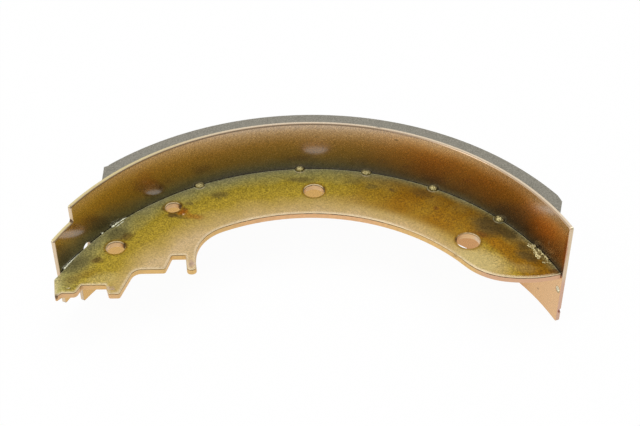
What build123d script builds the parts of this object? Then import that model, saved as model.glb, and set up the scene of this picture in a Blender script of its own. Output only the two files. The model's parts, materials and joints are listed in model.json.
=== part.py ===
from build123d import *
import os
from math import acos, atan2, cos, hypot, radians, sin

# Bonded drum-brake shoe: a rolled steel rim, a stamped web welded inside it and a moulded friction
# lining bonded outside it. Millimetres and degrees. The origin is the centre of the hold-down hole,
# half way through the web, and +Z is parallel to the drum's axis. All angles are taken about that
# axis and turn from +X towards +Y.

# ---------------------------------------------------------------- driving dimensions

# Drum and lining
DRUM_RADIUS = 125.0
LINING_THICKNESS = 7.0
LINING_WIDTH = 52.3
LINING_RIGHT_ANGLE = 24.5       # where the right end face meets the rim
LINING_RIGHT_LEAN_ANGLE = 3.7   # how much further round the same face would meet the drum
LINING_RELIEF_DEPTH = 2.0       # bevel at the right end
LINING_RELIEF_ANGLE = 2.0
LINING_LEFT_ANGLE = 139.6       # where the left end face meets the rim
LINING_LEFT_LEAN_ANGLE = -3.5
LINING_STEP_DEPTH = 0.7         # small moulding step beside the left end
LINING_STEP_ANGLE = 0.9
LINING_STEP_SLOPE_ANGLE = 0.45  # and the slope that leads out of it
LINING_EDGE_BREAK = 0.4

# Rim
RIM_THICKNESS = 2.0
RIM_WIDTH = 53.9
RIM_OFFSET = 0.75               # the middle of the rim lies this far above the middle of the web
RIM_RIGHT_ANGLE = 19.1
RIM_LEFT_ANGLE = 157.3          # end of the narrow tongue
TONGUE_WIDTH = 36.1
TONGUE_RISE = 0.65              # the tongue's middle lies this far above the rim's
TONGUE_UPPER_ANGLE = 7.0        # tongue beyond the upper shoulder
TONGUE_LOWER_ANGLE = 6.2        # and beyond the lower one
RIM_CORNER_RADIUS = 1.0
RIM_EDGE_BREAK = 0.25
RIM_HOLE_DIAMETER = 5.0
RIM_HOLE_SETBACK_ANGLE = 9.9    # from the tongue's end
END_HOLE_DIAMETER = 3.0         # small hole beside the right end
END_HOLE_SETBACK_ANGLE = 1.04   # from the end to the hole's centre
END_HOLE_DROP = 9.15            # distance below the middle of the rim
END_NICK_RADIUS = 1.2           # dent in the outer edge of the right end
END_NICK_DROP = 20.75

# Web
WEB_THICKNESS = 3.3
WEB_FIT_GAP = 0.25              # play between the web's edge and the rim
WEB_DEPTH = 33.1                # from the rim to the inner edge, at the crown
INNER_ARC_DROP = 2.6            # the inner edge's centre lies this far below the drum's axis
WEB_EDGE_BREAK = 0.3
TOE_BLEND_RADIUS = 26.0         # between the inner edge and the right end
HEEL_BLEND_SHARE = 0.16         # radius between the finger and the inner edge, as a share of the drum's

# Right end of the web: a cam-shaped abutment, placed from the rim's right end
CAM_RADIUS = 49.0
CAM_INSET = 15.1                # from the rim's end to the cam's lowest point
CAM_SAG = 1.1                   # how far that point lies below the rim's end

# Left end of the web. Each X is taken from the inner corner of the rim's tongue, and each drop or
# rise from the same corner.
HEEL_BULGE = 2.2
HEEL_BULGE_DROP = 3.9
HEEL_RADIUS = 2.6
TIP_HOOK_X = -0.3               # small barb at the outer corner of the tip
TIP_HOOK_WIDTH = 2.4
TIP_HOOK_DROP = 15.2
TIP_DROP = 12.5
TIP_WIDTH = 8.4
TIP_RADIUS = 2.0
OUTER_SLOT_X = 9.9
OUTER_SLOT_WIDTH = 10.5
OUTER_SLOT_DROP = 7.7
OUTER_SLOT_FLARE = 1.8
TOOTH_WIDTH = 4.6
TOOTH_DROP = 13.5
TOOTH_RADIUS = 1.0
SADDLE_X = 31.5
SADDLE_WIDTH = 13.5
SADDLE_RISE = 1.8
SADDLE_ENTRY_RADIUS = 4.6
SADDLE_EXIT_RADIUS = 1.2
INNER_SLOT_X = 47.3
INNER_SLOT_WIDTH = 6.1
INNER_SLOT_RISE = 10.7
SLOT_CORNER_RADIUS = 0.6
FINGER_WIDTH = 4.3
FINGER_SLANT = 1.2
FINGER_RISE = 0.9
FINGER_TIP_RADIUS = 1.9
FINGER_WAIST = 1.0              # how far the finger's right side leans back
FINGER_WAIST_RISE = 7.3
FINGER_WAIST_RADIUS = 8.0

# Holes in the web
CABLE_HOLE_ANGLE = 144.35
CABLE_HOLE_INSET = 11.5         # from the rim to the hole's centre
CABLE_HOLE_DIAMETER = 8.2
SPRING_HOLE_ANGLE = 124.8
SPRING_HOLE_INSET = 8.3
SPRING_HOLE_DIAMETER = 7.0
HOLD_DOWN_HOLE_ANGLE = 88.0
HOLD_DOWN_HOLE_INSET = 16.9
HOLD_DOWN_HOLE_DIAMETER = 9.4
LEVER_HOLE_ANGLE = 40.8
LEVER_HOLE_INSET = 21.5
LEVER_HOLE_DIAMETER = 10.4

# Projection welds
NUGGET_ANGLES = [41.1, 59.2, 75.7, 91.5, 115.7]
SCALLOP_RADIUS = 2.5            # scallop that each projection leaves in the web's edge
NUGGET_SINK = 0.7               # the fused metal stops this far inside each face of the web
NUGGET_BASE_RADIUS = 1.7        # the bead that stands up in the scallop
NUGGET_CROWN_RADIUS = 0.8
NUGGET_RISE = 1.3

# Fillet beads on the web's upper face, each from one angle to another
LEFT_BEAD_ANGLES = (136.4, 139.1)
LEFT_BEAD_LEG = 1.2
LEFT_SPATTER_ANGLES = (142.3, 143.1)
LEFT_SPATTER_LEG = 0.8
LEFT_END_BEAD_ANGLES = (150.9, 156.0)
LEFT_END_BEAD_LEG = 0.7
TACK_ANGLES = (23.6, 30.8)      # rough tack weld at the right end
TACK_LEG = 1.4
TACK_LUMP_ANGLES = [24.6, 26.7, 29.6]
TACK_LUMP_INSET = 2.1
TACK_LUMP_RADIUS = 1.7
BEAD_CROWN_SHARE = 0.7          # a bead's crown, as a share of its leg

MATCH_TOLERANCE = 0.01          # for telling one edge from another

# ---------------------------------------------------------------- worked-out sizes

RIM_OUTER_RADIUS = DRUM_RADIUS - LINING_THICKNESS
RIM_INNER_RADIUS = RIM_OUTER_RADIUS - RIM_THICKNESS
RIM_MID_RADIUS = RIM_INNER_RADIUS + RIM_THICKNESS / 2
RIM_BOTTOM = RIM_OFFSET - RIM_WIDTH / 2
WEB_OUTER_RADIUS = RIM_INNER_RADIUS - WEB_FIT_GAP
WEB_TOP = WEB_THICKNESS / 2
INNER_ARC_RADIUS = RIM_INNER_RADIUS - WEB_DEPTH + INNER_ARC_DROP
SHOULDER_UPPER = RIM_LEFT_ANGLE - TONGUE_UPPER_ANGLE
SHOULDER_LOWER = RIM_LEFT_ANGLE - TONGUE_LOWER_ANGLE
NUGGET_HEIGHT = WEB_THICKNESS - 2 * NUGGET_SINK
HEEL_BLEND_RADIUS = HEEL_BLEND_SHARE * DRUM_RADIUS
TONGUE_BOTTOM = RIM_OFFSET + TONGUE_RISE - TONGUE_WIDTH / 2


def direction(angle):
    """Unit vector at an angle in the XY plane."""
    return Vector(cos(radians(angle)), sin(radians(angle)))


DRUM_CENTRE = direction(HOLD_DOWN_HOLE_ANGLE) * (HOLD_DOWN_HOLE_INSET - RIM_INNER_RADIUS)
DRUM_AXIS = Axis(DRUM_CENTRE, (0, 0, 1))


def polar(radius, angle, height=0.0):
    """Point at a radius and an angle about the drum's axis."""
    return DRUM_CENTRE + direction(angle) * radius + Vector(0, 0, height)


def meet(centre_a, radius_a, centre_b, radius_b):
    """Where two circles cross, on the right of the line from the first centre to the second."""
    across = centre_b - centre_a
    turn = acos((radius_a**2 + across.length**2 - radius_b**2) / (2 * radius_a * across.length))
    heading = atan2(across.Y, across.X) - turn
    return centre_a + Vector(radius_a * cos(heading), radius_a * sin(heading))


def through(centre, radius, start, end):
    """Shorter arc from one point to another about a known centre, for the line being built."""
    middle = (start + end) / 2 - centre
    return ThreePointArc(start, centre + middle.normalized() * radius, end)


def ring_sector(inner, outer, start, end):
    """Face between two radii and two angles about the drum's axis, for the sketch being built."""
    with BuildLine() as outline:
        CenterArc(DRUM_CENTRE, outer, start, end - start)
        CenterArc(DRUM_CENTRE, inner, start, end - start)
        Line(polar(inner, start), polar(outer, start))
        Line(polar(inner, end), polar(outer, end))
    make_face(outline.edges())


def is_level(edge):
    """True for an edge that lies level where its middle is."""
    return abs(edge.tangent_at(0.5).Z) < MATCH_TOLERANCE


def is_radial(edge):
    """True for a level edge that runs through the rim's thickness."""
    return is_level(edge) and abs(edge.length - RIM_THICKNESS) < MATCH_TOLERANCE


def is_free_edge(edge):
    """True for an edge of the web's two faces that isn't the one beside the rim."""
    middle = edge @ 0.5 - DRUM_CENTRE
    return is_level(edge) and hypot(middle.X, middle.Y) < WEB_OUTER_RADIUS - WEB_EDGE_BREAK


def is_on_drum(edge):
    """True for an arc of the face that rubs on the drum."""
    return abs(edge.radius - DRUM_RADIUS) < MATCH_TOLERANCE


def finish(builder, name):
    """Label a finished piece and write its file."""
    builder.part.label = name
    export_step(builder.part, f"parts/{name}.step")


os.makedirs("parts", exist_ok=True)

# ---------------------------------------------------------------- rim

with BuildPart() as rim:
    # Rolled strip: a lower and an upper half at full width, and the narrower tongue
    with BuildSketch(Plane.XY.offset(RIM_BOTTOM)):
        ring_sector(RIM_INNER_RADIUS, RIM_OUTER_RADIUS, RIM_RIGHT_ANGLE, SHOULDER_LOWER)
    extrude(amount=RIM_WIDTH / 2)
    with BuildSketch(Plane.XY.offset(RIM_OFFSET)):
        ring_sector(RIM_INNER_RADIUS, RIM_OUTER_RADIUS, RIM_RIGHT_ANGLE, SHOULDER_UPPER)
    extrude(amount=RIM_WIDTH / 2)
    with BuildSketch(Plane.XY.offset(TONGUE_BOTTOM)):
        ring_sector(RIM_INNER_RADIUS, RIM_OUTER_RADIUS, RIM_RIGHT_ANGLE, RIM_LEFT_ANGLE)
    extrude(amount=TONGUE_WIDTH)

    # The blank's corners are rounded, and the sheared edges all round it are lightly broken
    fillet(rim.edges().filter_by(GeomType.LINE).filter_by(is_radial), RIM_CORNER_RADIUS)
    inner_face, outer_face = rim.faces().sort_by(SortBy.AREA)[-2:]
    chamfer(inner_face.edges() + outer_face.edges(), RIM_EDGE_BREAK)

    # Round hole near the left end
    hole_angle = RIM_LEFT_ANGLE - RIM_HOLE_SETBACK_ANGLE
    hole_at = polar(RIM_MID_RADIUS, hole_angle, RIM_OFFSET)
    with BuildSketch(Plane(origin=hole_at, z_dir=direction(hole_angle))):
        Circle(RIM_HOLE_DIAMETER / 2)
    extrude(amount=RIM_THICKNESS, both=True, mode=Mode.SUBTRACT)

    # Small hole beside the right end, and a dent in its outer edge
    end_hole_angle = RIM_RIGHT_ANGLE + END_HOLE_SETBACK_ANGLE
    end_hole_at = polar(RIM_MID_RADIUS, end_hole_angle, RIM_OFFSET - END_HOLE_DROP)
    with BuildSketch(Plane(origin=end_hole_at, z_dir=direction(end_hole_angle))):
        Circle(END_HOLE_DIAMETER / 2)
    extrude(amount=RIM_THICKNESS, both=True, mode=Mode.SUBTRACT)
    with Locations(polar(RIM_OUTER_RADIUS, RIM_RIGHT_ANGLE, RIM_OFFSET - END_NICK_DROP)):
        Sphere(END_NICK_RADIUS, mode=Mode.SUBTRACT)
finish(rim, "rim")

# ---------------------------------------------------------------- web

heel = polar(RIM_INNER_RADIUS, RIM_LEFT_ANGLE)
toe = polar(RIM_INNER_RADIUS, RIM_RIGHT_ANGLE)
inner_centre = DRUM_CENTRE - Vector(0, INNER_ARC_DROP)
cam_centre = toe + Vector(-CAM_INSET, CAM_RADIUS - CAM_SAG)

# Corners of the left end from the rim's tongue round to the finger, each as x, y and its radius
outer_slot_right = OUTER_SLOT_X + OUTER_SLOT_WIDTH
tooth_left = outer_slot_right + OUTER_SLOT_FLARE
inner_slot_right = INNER_SLOT_X + INNER_SLOT_WIDTH
finger_left = inner_slot_right + FINGER_SLANT
finger_right = finger_left + FINGER_WIDTH
waist_x = finger_right - FINGER_WAIST
heel_corners = [
    (-HEEL_BULGE, -HEEL_BULGE_DROP, HEEL_RADIUS),
    (TIP_HOOK_X, -TIP_HOOK_DROP, SLOT_CORNER_RADIUS),
    (TIP_HOOK_X + TIP_HOOK_WIDTH, -TIP_DROP, SLOT_CORNER_RADIUS),
    (TIP_HOOK_X + TIP_WIDTH, -TIP_DROP, TIP_RADIUS),
    (OUTER_SLOT_X, -OUTER_SLOT_DROP, SLOT_CORNER_RADIUS),
    (outer_slot_right, -OUTER_SLOT_DROP, SLOT_CORNER_RADIUS),
    (tooth_left, -TOOTH_DROP, TOOTH_RADIUS),
    (tooth_left + TOOTH_WIDTH, -TOOTH_DROP, TOOTH_RADIUS),
    (SADDLE_X, SADDLE_RISE, SADDLE_ENTRY_RADIUS),
    (SADDLE_X + SADDLE_WIDTH, SADDLE_RISE, SADDLE_EXIT_RADIUS),
    (INNER_SLOT_X, INNER_SLOT_RISE, SLOT_CORNER_RADIUS),
    (inner_slot_right, INNER_SLOT_RISE, SLOT_CORNER_RADIUS),
    (finger_left, FINGER_RISE, FINGER_TIP_RADIUS),
    (finger_right, FINGER_RISE, FINGER_TIP_RADIUS),
    (waist_x, FINGER_RISE + FINGER_WAIST_RISE, FINGER_WAIST_RADIUS),
]

# The inner edge starts straight above the finger's waist
inner_start_x = heel.X + waist_x - inner_centre.X
inner_start_y = (INNER_ARC_RADIUS**2 - inner_start_x**2) ** 0.5
heel_blend = inner_centre + Vector(inner_start_x, inner_start_y)
heel_start = polar(WEB_OUTER_RADIUS, RIM_LEFT_ANGLE)
toe_blend = meet(inner_centre, INNER_ARC_RADIUS, cam_centre, CAM_RADIUS)
toe_end = meet(DRUM_CENTRE, WEB_OUTER_RADIUS, cam_centre, CAM_RADIUS)

web_holes = [
    (CABLE_HOLE_ANGLE, CABLE_HOLE_INSET, CABLE_HOLE_DIAMETER),
    (SPRING_HOLE_ANGLE, SPRING_HOLE_INSET, SPRING_HOLE_DIAMETER),
    (HOLD_DOWN_HOLE_ANGLE, HOLD_DOWN_HOLE_INSET, HOLD_DOWN_HOLE_DIAMETER),
    (LEVER_HOLE_ANGLE, LEVER_HOLE_INSET, LEVER_HOLE_DIAMETER),
]

with BuildPart() as web:
    with BuildSketch(Plane.XY.offset(-WEB_TOP)) as web_profile:
        with BuildLine():
            FilletPolyline(
                heel_start,
                *[heel + Vector(x, y) for x, y, _ in heel_corners],
                heel_blend,
                radius=[radius for _, _, radius in heel_corners],
            )
            through(inner_centre, INNER_ARC_RADIUS, heel_blend, toe_blend)
            through(cam_centre, CAM_RADIUS, toe_blend, toe_end)
            through(DRUM_CENTRE, WEB_OUTER_RADIUS, toe_end, heel_start)
        make_face()
        fillet(web_profile.vertices().sort_by_distance(heel_blend)[0], HEEL_BLEND_RADIUS)
        fillet(web_profile.vertices().sort_by_distance(toe_blend)[0], TOE_BLEND_RADIUS)
    extrude(amount=WEB_THICKNESS)

    # Holes, then every edge of the stamping is rolled over, apart from the one beside the rim
    for angle, inset, diameter in web_holes:
        with Locations(polar(RIM_INNER_RADIUS - inset, angle, WEB_TOP)):
            Hole(diameter / 2, WEB_THICKNESS)
    chamfer(web.edges().filter_by(is_free_edge), WEB_EDGE_BREAK)

    # Scallops round the projection welds
    with Locations(*[polar(RIM_INNER_RADIUS, angle) for angle in NUGGET_ANGLES]):
        Cylinder(SCALLOP_RADIUS, 2 * WEB_THICKNESS, mode=Mode.SUBTRACT)
finish(web, "web")

# ---------------------------------------------------------------- friction lining

right_angle = LINING_RIGHT_ANGLE + LINING_RIGHT_LEAN_ANGLE
right_base = polar(RIM_OUTER_RADIUS, LINING_RIGHT_ANGLE)
right_lip = polar(DRUM_RADIUS, right_angle)
relief_low = right_lip - (right_lip - right_base).normalized() * LINING_RELIEF_DEPTH
relief_top = polar(DRUM_RADIUS, right_angle + LINING_RELIEF_ANGLE)
left_angle = LINING_LEFT_ANGLE + LINING_LEFT_LEAN_ANGLE
step_angle = left_angle - LINING_STEP_ANGLE
left_base = polar(RIM_OUTER_RADIUS, LINING_LEFT_ANGLE)
left_lip = polar(DRUM_RADIUS, left_angle)
step_low = polar(DRUM_RADIUS - LINING_STEP_DEPTH, step_angle)
step_top = polar(DRUM_RADIUS, step_angle - LINING_STEP_SLOPE_ANGLE)

with BuildPart() as lining:
    with BuildSketch(Plane.XY.offset(RIM_OFFSET - LINING_WIDTH / 2)):
        with BuildLine():
            Polyline(relief_top, relief_low, right_base)
            through(DRUM_CENTRE, RIM_OUTER_RADIUS, right_base, left_base)
            Polyline(left_base, left_lip, step_low, step_top)
            through(DRUM_CENTRE, DRUM_RADIUS, step_top, relief_top)
        make_face()
    extrude(amount=LINING_WIDTH)
    chamfer(lining.edges().filter_by(GeomType.CIRCLE).filter_by(is_on_drum), LINING_EDGE_BREAK)
finish(lining, "friction_lining")

# ---------------------------------------------------------------- welds

for number, angle in enumerate(NUGGET_ANGLES, start=1):
    with BuildPart() as nugget:
        # Fused metal that fills the scallop, with a bead on each face of the web
        with Locations(polar(RIM_INNER_RADIUS, angle)):
            Cylinder(SCALLOP_RADIUS, NUGGET_HEIGHT)
        with Locations(polar(RIM_INNER_RADIUS, angle, NUGGET_HEIGHT / 2)):
            Cone(
                NUGGET_BASE_RADIUS,
                NUGGET_CROWN_RADIUS,
                NUGGET_RISE,
                align=(Align.CENTER, Align.CENTER, Align.MIN),
            )
        mirror(about=Plane.XY)
        with Locations(DRUM_CENTRE):
            Cylinder(RIM_INNER_RADIUS, 4 * WEB_THICKNESS, mode=Mode.INTERSECT)
    finish(nugget, f"weld_nugget_{number}")


def fillet_bead(angles, leg):
    """Bead in the corner of the rim and the web's upper face, for the part being built."""
    start, end = angles
    inward = -direction(start)
    corner = Plane(
        origin=polar(RIM_INNER_RADIUS, start, WEB_TOP),
        x_dir=inward,
        z_dir=inward.cross(Vector(0, 0, 1)),
    )
    crown = BEAD_CROWN_SHARE * leg
    with BuildSketch(corner) as section:
        with BuildLine() as outline:
            Polyline((0, 0), (leg, 0), (crown, crown), (0, leg), close=True)
        make_face(outline.edges())
    revolve(section.sketch, axis=DRUM_AXIS, revolution_arc=end - start)


with BuildPart() as left_bead:
    fillet_bead(LEFT_BEAD_ANGLES, LEFT_BEAD_LEG)
finish(left_bead, "left_bead")

with BuildPart() as left_spatter:
    fillet_bead(LEFT_SPATTER_ANGLES, LEFT_SPATTER_LEG)
finish(left_spatter, "left_spatter")

with BuildPart() as left_end_bead:
    fillet_bead(LEFT_END_BEAD_ANGLES, LEFT_END_BEAD_LEG)
finish(left_end_bead, "left_end_bead")

with BuildPart() as tack:
    # A bead with lumps of spatter grown into it
    fillet_bead(TACK_ANGLES, TACK_LEG)
    lump_radius = RIM_INNER_RADIUS - TACK_LUMP_INSET
    with Locations(*[polar(lump_radius, angle, WEB_TOP) for angle in TACK_LUMP_ANGLES]):
        Sphere(TACK_LUMP_RADIUS, arc_size1=0, align=(Align.CENTER, Align.CENTER, Align.MIN))
finish(tack, "right_end_tack")
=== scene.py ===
"""Finishes, weld metal and studio for a drum-brake shoe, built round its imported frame."""

from __future__ import annotations

import json
import logging
from abc import ABC, abstractmethod
from collections.abc import Callable, Iterator, Sequence
from contextlib import contextmanager
from dataclasses import dataclass
from enum import Enum
from math import cos, radians, sin
from random import Random
from typing import Any

import bpy
from mathutils import Matrix, Vector

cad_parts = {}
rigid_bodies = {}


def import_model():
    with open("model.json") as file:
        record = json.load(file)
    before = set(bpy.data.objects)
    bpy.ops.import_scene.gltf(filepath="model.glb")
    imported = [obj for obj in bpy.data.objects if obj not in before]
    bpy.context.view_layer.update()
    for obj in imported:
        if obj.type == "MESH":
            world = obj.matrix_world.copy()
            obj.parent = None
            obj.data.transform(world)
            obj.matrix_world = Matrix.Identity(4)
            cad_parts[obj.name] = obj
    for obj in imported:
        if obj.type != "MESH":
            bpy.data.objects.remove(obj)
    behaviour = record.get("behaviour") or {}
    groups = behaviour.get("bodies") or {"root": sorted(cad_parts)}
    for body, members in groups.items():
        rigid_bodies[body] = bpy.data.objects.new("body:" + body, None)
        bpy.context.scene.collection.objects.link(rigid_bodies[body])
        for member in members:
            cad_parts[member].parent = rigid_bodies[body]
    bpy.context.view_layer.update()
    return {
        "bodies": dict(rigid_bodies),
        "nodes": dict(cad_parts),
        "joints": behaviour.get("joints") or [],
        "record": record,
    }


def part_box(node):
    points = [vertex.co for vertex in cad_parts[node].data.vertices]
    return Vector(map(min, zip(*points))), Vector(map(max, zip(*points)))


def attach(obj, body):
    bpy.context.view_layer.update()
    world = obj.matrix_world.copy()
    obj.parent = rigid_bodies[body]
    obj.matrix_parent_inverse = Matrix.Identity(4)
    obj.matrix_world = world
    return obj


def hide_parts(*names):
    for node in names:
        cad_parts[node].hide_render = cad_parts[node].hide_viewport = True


LOG = logging.getLogger("brake_shoe")

MM = 0.001
BODY = "root"

Colour = tuple[float, float, float, float]
Point = tuple[float, float, float]

# A fade is a pair of values: where it starts and where it is full. A band is its low side, its
# high side and its soft margin. A noise is its cells in a millimetre and its octaves.


def srgb(red: int, green: int, blue: int) -> Colour:
    """Turn an 8-bit display colour into the linear colour that shaders use.

    Args:
        red: Red from 0 to 255.
        green: Green from 0 to 255.
        blue: Blue from 0 to 255.

    Returns:
        The linear colour with full alpha.
    """

    def linear(value: int) -> float:
        """Undo one channel's curve, with the constants of the sRGB standard."""
        share = value / 255.0
        return share / 12.92 if share <= 0.04045 else ((share + 0.055) / 1.055) ** 2.4

    return (linear(red), linear(green), linear(blue), 1.0)


# ---------------------------------------------------------------- shader maths


def math_method(operation: str, swapped: bool = False) -> Callable[[Socket, Operand], Socket]:
    """Make a method that adds the Math node for an operator.

    Args:
        operation: What the node works out.
        swapped: Whether the other operand comes first.

    Returns:
        The method.
    """

    def work(self: Socket, other: Operand) -> Socket:
        """Work the operation out on this output and another operand."""
        first, second = (other, self) if swapped else (self, other)
        return self.graph.node("ShaderNodeMath", {"operation": operation}, {0: first, 1: second})

    return work


class Socket:
    """One output in a shader tree. Arithmetic on it adds the Math nodes that it needs."""

    def __init__(self, graph: ShaderGraph, link: bpy.types.NodeSocket) -> None:
        """Keep the tree and the output that this stands for."""
        self.graph = graph
        self.link = link

    __add__ = __radd__ = math_method("ADD")
    __sub__ = math_method("SUBTRACT")
    __rsub__ = math_method("SUBTRACT", swapped=True)
    __mul__ = __rmul__ = math_method("MULTIPLY")
    __truediv__ = math_method("DIVIDE")
    __pow__ = math_method("POWER")
    larger = math_method("MAXIMUM")

    def size(self) -> Socket:
        """Value without its sign."""
        return self.graph.node("ShaderNodeMath", {"operation": "ABSOLUTE"}, {0: self})

    def ramp(self, low: float, high: float) -> Socket:
        """Smooth step from 0 at one value to 1 at another, which may be the lower."""
        return self.graph.node(
            "ShaderNodeMapRange",
            {"interpolation_type": "SMOOTHSTEP"},
            {"Value": self, "From Min": low, "From Max": high},
        )

    def band(self, low: float, high: float, soft: float) -> Socket:
        """1 between two values, fading to 0 over a soft margin outside them."""
        return self.ramp(low - soft, low) * self.ramp(high + soft, high)

    def between(self, low: float, high: float) -> Socket:
        """Spread a value from 0 to 1 over a range, which may run downwards."""
        return self * (high - low) + low


Operand = Socket | float


class ShaderGraph:
    """A node tree that is filled by calls instead of by hand."""

    MIX_FACTOR = 0
    MIX_COLOURS = (6, 7)
    MIX_RESULT = 2

    def __init__(self, tree: bpy.types.NodeTree) -> None:
        """Start from an empty tree."""
        tree.nodes.clear()
        self.tree = tree

    def node(
        self,
        kind: str,
        settings: dict[str, Any] | None = None,
        inputs: dict[int | str, Any] | None = None,
        output: int | str = 0,
    ) -> Socket:
        """Add one node of any type.

        Args:
            kind: The node's type name.
            settings: Its properties, set before its sockets; "stops" fills a colour ramp.
            inputs: Values or links for its sockets, by name or number.
            output: The output to hand back.

        Returns:
            The chosen output.
        """
        node = self.tree.nodes.new(kind)
        for name, value in (settings or {}).items():
            if name == "stops":
                self._fill(node.color_ramp, value)
            else:
                setattr(node, name, value)
        for name, value in (inputs or {}).items():
            if isinstance(value, Socket):
                self.tree.links.new(value.link, node.inputs[name])
            else:
                node.inputs[name].default_value = value
        return Socket(self, node.outputs[output] if node.outputs else node.inputs[0])

    @staticmethod
    def _fill(ramp: bpy.types.ColorRamp, stops: Sequence[tuple[float, Colour]]) -> None:
        """Set a ramp's stops.

        Args:
            ramp: The ramp, which starts with two stops.
            stops: Places from 0 to 1 in rising order, and their colours.
        """
        while len(ramp.elements) < len(stops):
            ramp.elements.new(1.0)
        for element, (place, colour) in zip(ramp.elements, stops):
            element.position = place
            element.color = colour

    def blend(self, factor: Operand, below: Any, above: Any, mode: str = "MIX") -> Socket:
        """Mix two colours.

        Args:
            factor: How much of the upper colour shows.
            below: The colour at 0.
            above: The colour at 1.
            mode: Blend mode of the Mix node.

        Returns:
            The mixed colour.
        """
        first, second = self.MIX_COLOURS
        return self.node(
            "ShaderNodeMix",
            {"data_type": "RGBA", "blend_type": mode, "clamp_factor": True},
            {self.MIX_FACTOR: factor, first: below, second: above},
            self.MIX_RESULT,
        )

    def colours(self, value: Socket, stops: Sequence[tuple[float, Colour]]) -> Socket:
        """Colour ramp over a value from 0 to 1."""
        return self.node("ShaderNodeValToRGB", {"stops": stops}, {"Fac": value})

    def vector(
        self, operation: str, first: Any, second: Any = None, output: str = "Vector"
    ) -> Socket:
        """Add a Vector Math node.

        Args:
            operation: What it works out.
            first: Its first vector.
            second: Its second vector, where it takes one.
            output: "Vector" or "Value".

        Returns:
            The chosen output.
        """
        inputs = {0: first} if second is None else {0: first, 1: second}
        return self.node("ShaderNodeVectorMath", {"operation": operation}, inputs, output)

    def scaled(self, vector: Socket, factor: float) -> Socket:
        """A vector times a number."""
        return self.vector("MULTIPLY", vector, (factor, factor, factor))

    def part(self, vector: Socket, axis: str) -> Socket:
        """One coordinate of a vector."""
        return self.node("ShaderNodeSeparateXYZ", None, {0: vector}, axis)


# ---------------------------------------------------------------- frame


@dataclass(frozen=True)
class Hole:
    """A hole in the web: its centre and radius, in millimetres."""

    x: float
    y: float
    radius: float

    def rim_point(self, angle: float, height: float = 0.0) -> Point:
        """Point on the hole's wall, at an angle in degrees and a height."""
        turn = radians(angle)
        return (self.x + self.radius * cos(turn), self.y + self.radius * sin(turn), height)

    def away(self, at: Surface) -> Socket:
        """Distance from the hole's middle, less its radius, in millimetres."""
        return at.distance((self.x, self.y, 0.0)) - self.radius


@dataclass(frozen=True)
class Shoe:
    """Where the drum's axis and the steel's faces lie, in metres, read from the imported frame."""

    centre_x: float
    centre_y: float
    rim_inner: float
    rim_low: float
    rim_high: float
    web_top: float
    web_bottom: float
    holes: dict[str, Hole]

    DRUM_RADIUS = 125.0 * MM
    RIM_THICKNESS = 2.0 * MM

    @classmethod
    def from_frame(cls, frame: dict[str, Any]) -> Shoe:
        """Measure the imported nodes.


        Returns:
            The shoe's main faces.
        """
        mounts = {mount["name"]: mount for mount in frame["record"]["mounts"]}
        _, lining_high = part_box("friction_lining")
        rim_low, rim_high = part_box("rim")
        web_low, web_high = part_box("web")
        centre_y = lining_high.y - cls.DRUM_RADIUS
        bores = {name: mount for name, mount in mounts.items() if mount["kind"] == "bore"}
        return cls(
            centre_x=mounts["friction_face"]["pos_m"][0],
            centre_y=centre_y,
            rim_inner=rim_high.y - centre_y - cls.RIM_THICKNESS,
            rim_low=rim_low.z,
            rim_high=rim_high.z,
            web_top=web_high.z,
            web_bottom=web_low.z,
            holes={
                name: Hole(bore["pos_m"][0] / MM, bore["pos_m"][1] / MM, bore["dims"]["r_mm"])
                for name, bore in bores.items()
            },
        )

    def at(self, angle: float, inset: float, height: float = 0.0) -> Vector:
        """Point over the web's upper face.

        Args:
            angle: Degrees about the drum's axis.
            inset: Distance in from the rim, in metres.
            height: Height above the face, in metres.

        Returns:
            The point in the part's frame.
        """
        radius = self.rim_inner - inset
        turn = radians(angle)
        x, y = self.centre_x + radius * cos(turn), self.centre_y + radius * sin(turn)
        return Vector((x, y, self.web_top + height))


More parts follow.
